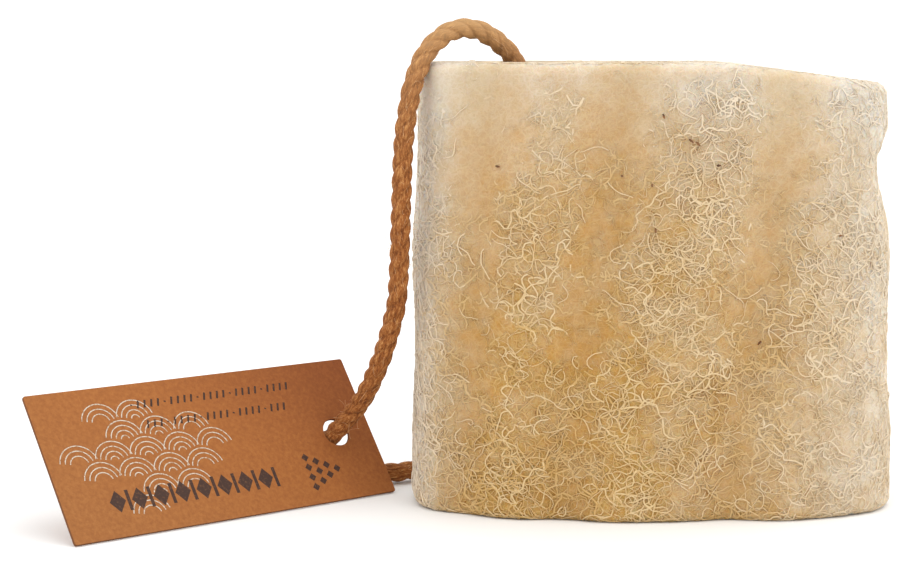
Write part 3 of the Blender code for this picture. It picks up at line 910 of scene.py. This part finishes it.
def netStrands(layer):
    # the strands on the ribs and those in the furrows, as two lists
    rng = random.Random(layer["seed"])
    columns, rows, knots = netKnots(layer, rng)
    onRibs, inFurrows = [], []
    for walk in netWalks(layer, rng, columns, rows):
        places, last = [], None
        for key in walk:
            share, travel, sink = knots[key]
            if last is not None:
                share += round(last - share)      # stays on one side of the seam
            last = share
            places.append(Vector((share, travel, sink)))
        middle = places[len(places) // 2]
        chosen = inFurrows if furrowShare(middle.x, middle.y) + rng.gauss(0.0, 0.22) > 0.5 else onRibs
        chosen += onSkin(bentThrough(places, layer["parts"], rng), layer["settle"], rng)
    return onRibs, inFurrows


def looseHairs():
    rng = random.Random(hairs["seed"])
    strands = []
    while len(strands) < hairs["count"]:
        share, travel = rng.random(), rng.uniform(0.002, profileLength - 0.002)
        p, face = skinPoint(share, travel, 0.0)
        if rng.random() < calm(p, furrowShare(share, travel)) * 1.3:
            continue
        turn = rng.gauss(0.0, 0.45) + rng.choice((0.0, math.pi))
        bend, places = rng.gauss(0.0, 0.26), []
        steps = rng.randint(*hairs["steps"])
        for k in range(steps):
            lift = math.sin(math.pi * k / (steps - 1))
            places.append(Vector((share, travel, 0.0004 - 0.0003 * lift)))
            turn += bend
            bend = 0.75 * bend + rng.gauss(0.0, 0.28)
            share += math.cos(turn) * hairs["step"] / wallLength
            travel = min(max(travel + math.sin(turn) * hairs["step"], 0.0), profileLength)
        strands += onSkin(places, 0.0, rng)
    return strands


def channelStrands():
    rng = random.Random(inner["seed"])
    strands = []
    for index, channel in enumerate(channels):
        for _ in range(inner["count"]):
            angle, height = rng.uniform(0.0, 2.0 * math.pi), rng.uniform(0.001, block["height"])
            turn, run = rng.uniform(0.0, 2.0 * math.pi), []
            for _ in range(rng.randint(*inner["steps"])):
                p = channelPoint(index, angle, height, rng.uniform(*inner["sink"]))
                if not 0.0006 < height < topHeight(p.x) - 0.0008:
                    break
                run.append(p)
                turn += rng.gauss(0.0, 0.42)
                angle += math.cos(turn) * inner["step"] / channel[2]
                height += math.sin(turn) * inner["step"]
            if len(run) >= 4:
                strands.append((run, [rng.uniform(0.8, 1.2) for _ in run]))
    return strands


def tubeMesh(name, strands, thickness, mat):
    # three-sided tubes along the strands, as one mesh
    shape = bpy.data.curves.new("strandShape", "CURVE")
    shape.dimensions = "2D"
    corners = shape.splines.new("POLY")
    corners.points.add(2)
    for k, point in enumerate(corners.points):
        angle = 2 * math.pi * k / 3
        point.co = (thickness * 0.58 * math.cos(angle), thickness * 0.58 * math.sin(angle), 0.0, 1.0)
    corners.use_cyclic_u = True
    shapeHolder = linked("strandShape", shape)
    holder = fibreCurves(name, strands, thickness, mat)
    holder.data.bevel_mode, holder.data.bevel_object = "OBJECT", shapeHolder
    mesh = meshOf(holder)
    mesh.shade_flat()
    bpy.data.objects.remove(shapeHolder, do_unlink=True)
    print(name, "made:", sum(len(f.vertices) - 2 for f in mesh.polygons), "triangles")
    finishPiece(linked(name, mesh))


specks = {
    "places": ((652, 103), (680, 128), (687, 131), (710, 153), (484, 155), (610, 164), (642, 173), (645, 219),
               (840, 217), (755, 335)),
    "middle": 652.0, "foot": 529.0, "scale": 0.000257, "lean": 0.985, "thick": 0.00062, "seed": 5,
}
tuft = {"count": 26, "place": (-0.0480, -0.0190, 0.1193), "spread": (0.0050, 0.0024), "step": 0.0007, "seed": 8}


def darkSpecks():
    # small brown scraps of the dried rind that were left in the net, where the front shows them
    rng = random.Random(specks["seed"])
    strands = []
    for across, down in specks["places"]:
        share = shareOfFrontX((across - specks["middle"]) * specks["scale"])
        travel = (specks["foot"] - down) * specks["scale"] * specks["lean"]
        turn = rng.uniform(0, math.pi)
        reach = rng.uniform(0.0003, 0.0008)
        strands.append(([skinPoint(share + math.cos(turn) * reach * k / wallLength, travel + math.sin(turn) * reach * k,
                                   -0.0001)[0] for k in (-1, 0, 1)], (0.5, 1.0, 0.6)))
    return strands


def topTuft():
    # fibres pulled up beside the place where the cord comes out
    rng = random.Random(tuft["seed"])
    strands = []
    for _ in range(tuft["count"]):
        place = Vector((tuft["place"][0] + rng.gauss(0, 0.5) * tuft["spread"][0],
                        tuft["place"][1] + rng.gauss(0, 0.5) * tuft["spread"][1], tuft["place"][2]))
        heading = Vector((rng.gauss(0, 1), rng.gauss(0, 0.6), rng.uniform(0.15, 0.6))).normalized()
        run = []
        for k in range(6):
            run.append(place.copy())
            place = place + heading * tuft["step"]
            heading = (heading + Vector((rng.gauss(0, 0.25), rng.gauss(0, 0.25), -0.22))).normalized()
        strands.append((run, (1.0, 1.0, 0.9, 0.9, 0.8, 0.6)))
    return strands


def rindMaterial():
    mat, tree, shader = newMaterial("rindSpecks")
    tone = noiseAt(tree, objectPlace(tree), 700.0, 2.0)
    dress(tree, shader, ramp(tree, tone, ((0.35, srgb(70, 40, 18)), (0.65, srgb(128, 84, 44)))), Roughness=0.7)
    return mat


for name, layer in net.items():
    for place, strands in zip(("rib", "furrow"), netStrands(layer)):
        mat = fibreMaterial(name + place.capitalize(), *layer[place])
        half = math.ceil(len(strands) / 2)
        for side, part in (("A", strands[:half]), ("B", strands[half:])):
            tubeMesh(name + place.capitalize() + side, part, layer["thick"], mat)
tubeMesh("channelStrands", channelStrands(), inner["thick"], fibreMaterial("channelStrands", *inner["tones"]))
tubeMesh("rindSpecks", darkSpecks(), specks["thick"], rindMaterial())
tubeMesh("looseHairs", looseHairs() + topTuft(), hairs["thick"], fibreMaterial("looseHairs", *hairs["tones"]))


# tag

tag = {
    "length": 0.1026, "height": 0.0425, "thickness": 0.0009, "corner": 0.0006,
    "holeAt": (0.0908, 0.0202), "holeRadius": 0.0041,
    "foot": (-0.1483, -0.0593, 0.0001), "yaw": 40.62, "lean": 54.2, "edgeRound": 0.00008,
    "paintedShading": ((0.10, (1.12, 1.07, 0.99)), (0.50, (1.20, 1.04, 0.78)), (0.95, (0.88, 0.56, 0.27))),
    "shadingFrom": 0.1483, "shadingAcross": 0.0779, "shadingHeight": 0.0345,      # painted shadow: darker and browner to the upper right, where the block and the cord shade the card; painted light to the lower left
}


def tagPlace():
    lift = tag["thickness"] * 0.5 * math.cos(math.radians(tag["lean"]))
    return (Matrix.Translation(Vector(tag["foot"]) + Vector((0.0, 0.0, lift)))
            @ Matrix.Rotation(math.radians(tag["yaw"]), 4, "Z")
            @ Matrix.Rotation(math.radians(tag["lean"]), 4, "X"))


def cardMaterial(name, edge=False):
    mat, tree, shader = newMaterial(name)
    place = objectPlace(tree)
    blotch = noiseAt(tree, place, 45.0, 3.0, 0.6)
    pulp = noiseAt(tree, place, 900.0, 4.0, 0.65)
    flecks = noiseAt(tree, objectPlace(tree, (1.0, 1.0, 3.0), (0.5, 0.2, 0.7)), 1500.0, 2.0, 0.5, 0.8)
    base = ramp(tree, pulp, ((0.25, srgb(124, 75, 31)), (0.5, srgb(138, 87, 40)), (0.78, srgb(154, 104, 54))))
    base = mixColour(tree, mathOf(tree, "MULTIPLY", blotch, 0.4), base, srgb(132, 80, 34))
    speck = mathOf(tree, "GREATER_THAN", flecks, 0.70)
    base = mixColour(tree, mathOf(tree, "MULTIPLY", speck, 0.35), base, srgb(100, 58, 28))
    parts = addNode(tree, "ShaderNodeSeparateXYZ")
    link(tree, place, parts.inputs["Vector"])
    # painted light and shadow on the card: lighter to the lower left, darker and browner to the upper right
    along = mathOf(tree, "DIVIDE", mathOf(tree, "ADD", parts.outputs["X"], tag["shadingFrom"]), tag["shadingAcross"])
    climb = mathOf(tree, "DIVIDE", parts.outputs["Z"], tag["shadingHeight"])
    paintedShading = weighted(tree, (along, 0.58), (climb, 0.42), clamp=True)
    base = mixColour(tree, 1.0, base, ramp(tree, paintedShading, tag["paintedShading"]), "MULTIPLY")
    if edge:
        base = mixColour(tree, 1.0, base, (0.55, 0.50, 0.46), "MULTIPLY")
    dress(tree, shader, base, bumpFrom(tree, pulp, 0.25, 0.00012), Roughness=0.86)
    return mat


def cardTag(face, edge):
    c, w, h = tag["corner"], tag["length"], tag["height"]
    outline = [onArc(cx, cy, c, start + 15 * k) for cx, cy, start in (
        (w - c, c, -90), (w - c, h - c, 0), (c, h - c, 90), (c, c, 180)) for k in range(7)]
    hole = [onArc(*tag["holeAt"], tag["holeRadius"], 7.5 * k) for k in range(48)]
    curve = flatCurve("tagOutline", (outline, hole), tag["thickness"] * 0.5 - tag["edgeRound"])
    curve.bevel_depth, curve.bevel_resolution = tag["edgeRound"], 1
    curve.offset = -tag["edgeRound"]
    mesh = meshOf(linked("tagOutline", curve))
    bm = bmesh.new()
    bm.from_mesh(mesh)
    bmesh.ops.remove_doubles(bm, verts=bm.verts, dist=0.000005)
    for f in bm.faces:
        f.material_index = 0 if abs(f.normal.z) > 0.8 else 1
    bmesh.ops.transform(bm, matrix=tagPlace(), verts=bm.verts)
    bpy.data.meshes.remove(mesh)
    obj = pieceFromBmesh("kraftTag", bm, face, smooth=False)
    obj.data.materials.append(edge)
    return obj


tagCard = finishPiece(cardTag(cardMaterial("kraftCard"), cardMaterial("kraftCardEdge", True)), "tag")
print("tag made")


ink = {
    "lift": 0.00001, "flat": 0.05, "press": 0.0002,
    "white": {"line": 0.00034, "middle": (0.0300, 0.0212), "fan": 0.0056, "arcs": (1.0, 0.74, 0.48, 0.22)},
    "brown": {"line": 0.00060},
}


def onCard(mesh, name, mat):
    # lays flat print that was drawn in the card's own plane on the card's front
    bm = bmesh.new()
    bm.from_mesh(mesh)
    bpy.data.meshes.remove(mesh)
    bmesh.ops.scale(bm, verts=bm.verts, vec=(1.0, 1.0, ink["flat"]))
    bmesh.ops.translate(bm, verts=bm.verts, vec=(0.0, 0.0, tag["thickness"] * 0.5 + ink["lift"]))
    bmesh.ops.transform(bm, matrix=tagPlace(), verts=bm.verts)
    return finishPiece(pieceFromBmesh(name, bm, mat, smooth=False))


def drawnMesh(name, lines, width):
    # thin rods along flat lines, to be pressed flat as print
    strands = [([Vector((x, y, 0.0)) for x, y in line], [1.0] * len(line)) for line in lines]
    mesh = meshOf(fibreCurves(name, strands, width, None))
    mesh.materials.clear()
    return mesh


def lozenge(cx, cy, halfWidth, halfHeight):
    return [(cx - halfWidth, cy), (cx, cy - halfHeight), (cx + halfWidth, cy), (cx, cy + halfHeight)]


def fanLines():
    # scallops in staggered rows, each of a few nested arcs, in a ragged cluster
    white, rng, lines = ink["white"], random.Random(14), []
    size = white["fan"]
    for row in range(-3, 4):
        for column in range(-4, 5):
            cx = white["middle"][0] + (column + 0.5 * (row % 2)) * size * 2.0 * 0.93
            cy = white["middle"][1] + row * size * 0.98
            reach = abs(cx - white["middle"][0]) / 0.0215 + abs(cy - white["middle"][1]) / 0.0200
            if reach > 1.0 + rng.uniform(-0.12, 0.12) or not 0.0015 < cy < 0.0350:
                continue
            for share in white["arcs"]:
                if reach > 0.75 and share < 0.4:
                    continue
                lines.append([onArc(cx, cy, size * share, a) for a in range(12, 169, 12)])
    return lines


def bandShapes():
    # a bold row of lozenges and uprights, low on the card, with a small lattice at its end
    shapes = []
    for k in range(8):
        cx, cy = 0.0160 + 0.0066 * k, 0.0098
        left, right, low, high = cx + 0.0033 - 0.0005, cx + 0.0033 + 0.0005, cy - 0.0029, cy + 0.0029
        shapes.append(lozenge(cx, cy, 0.0024, 0.0031))
        shapes.append([(left, low), (right, low), (right, high), (left, high)])
    for i in range(4):
        for j in range(4 - i):
            cx, cy = 0.0772 + 0.0030 * i, 0.0050 + 0.0030 * (j + 0.5 * i)
            shapes.append(lozenge(cx, cy, 0.0012, 0.0012))
    return shapes


def dashLines():
    # two rows of short slanted strokes and dots, high on the card
    lines = []
    for row, (start, end, y) in enumerate(((0.0300, 0.0830, 0.0362), (0.0330, 0.0800, 0.0302))):
        for k in range(round((end - start) / 0.0021)):
            x = start + 0.0021 * k
            tall = 0.0011 if (k + 2 * row) % 5 else 0.0002
            lines.append([(x - tall * 0.35, y - tall), (x, y), (x + tall * 0.35, y + tall)])
    return lines


def inkMaterial(name, worn, full, cover):
    # ink that lets a little of the card's grain through
    mat, tree, shader = newMaterial(name)
    grain = noiseAt(tree, objectPlace(tree), 1600.0, 3.0, 0.6)
    dress(tree, shader, ramp(tree, grain, ((cover - 0.10, worn), (cover + 0.06, full))), Roughness=0.80)
    return mat


whiteInk = inkMaterial("whiteInk", srgb(168, 128, 92), srgb(205, 192, 176), 0.46)
brownInk = inkMaterial("brownInk", srgb(92, 58, 34), srgb(56, 32, 20), 0.40)
fans = onCard(drawnMesh("printedFans", fanLines(), ink["white"]["line"]), "printedFans", whiteInk)
bandMesh = meshOf(linked("printedBand", flatCurve("printedBand", bandShapes(), ink["press"])))
band = onCard(bandMesh, "printedBand", brownInk)
dashes = onCard(drawnMesh("printedDashes", dashLines(), ink["brown"]["line"]), "printedDashes", brownInk)
print("print on the tag made")


# floor and light

studio = {
    "floor": (0.83, 0.83, 0.82), "floorSize": 15.0,
    "world": 1.25,
    "aim": (-0.03, 0.0, 0.05),
    "key": {"place": (0.85, -0.35, 1.15), "softness": 80.0, "power": 1.15},
    "fill": {"place": (-1.00, -0.60, 0.42), "softness": 80.0, "power": 0.61},
}


def addLight(name, facts):
    data = bpy.data.lights.new(name, "SUN")
    data.angle, data.energy = math.radians(facts["softness"]), facts["power"]
    obj = linked(name, data)
    obj.location = facts["place"]
    obj.rotation_euler = (Vector(studio["aim"]) - obj.location).to_track_quat("-Z", "Y").to_euler()


def addStudio():
    bm = bmesh.new()
    bmesh.ops.create_grid(bm, x_segments=1, y_segments=1, size=studio["floorSize"])
    mat, tree, shader = newMaterial("paleFloor")
    tone = noiseAt(tree, objectPlace(tree), 3.0, 2.0)
    shades = ((0.0, studio["floor"]), (1.0, tuple(c * 1.02 for c in studio["floor"])))
    dress(tree, shader, ramp(tree, tone, shades), Roughness=0.9, Specular_IOR_Level=0.1)
    pieceFromBmesh("floor", bm, mat, smooth=False)
    world = bpy.data.worlds.new("studioWorld")
    world.use_nodes = True
    setInputs(world.node_tree.nodes["Background"], Color=(1.0, 1.0, 1.0, 1.0), Strength=studio["world"])
    bpy.context.scene.world = world
    addLight("keyLight", studio["key"])
    addLight("fillLight", studio["fill"])
    bpy.context.scene.view_settings.view_transform = "Standard"


addStudio()
print("studio made")
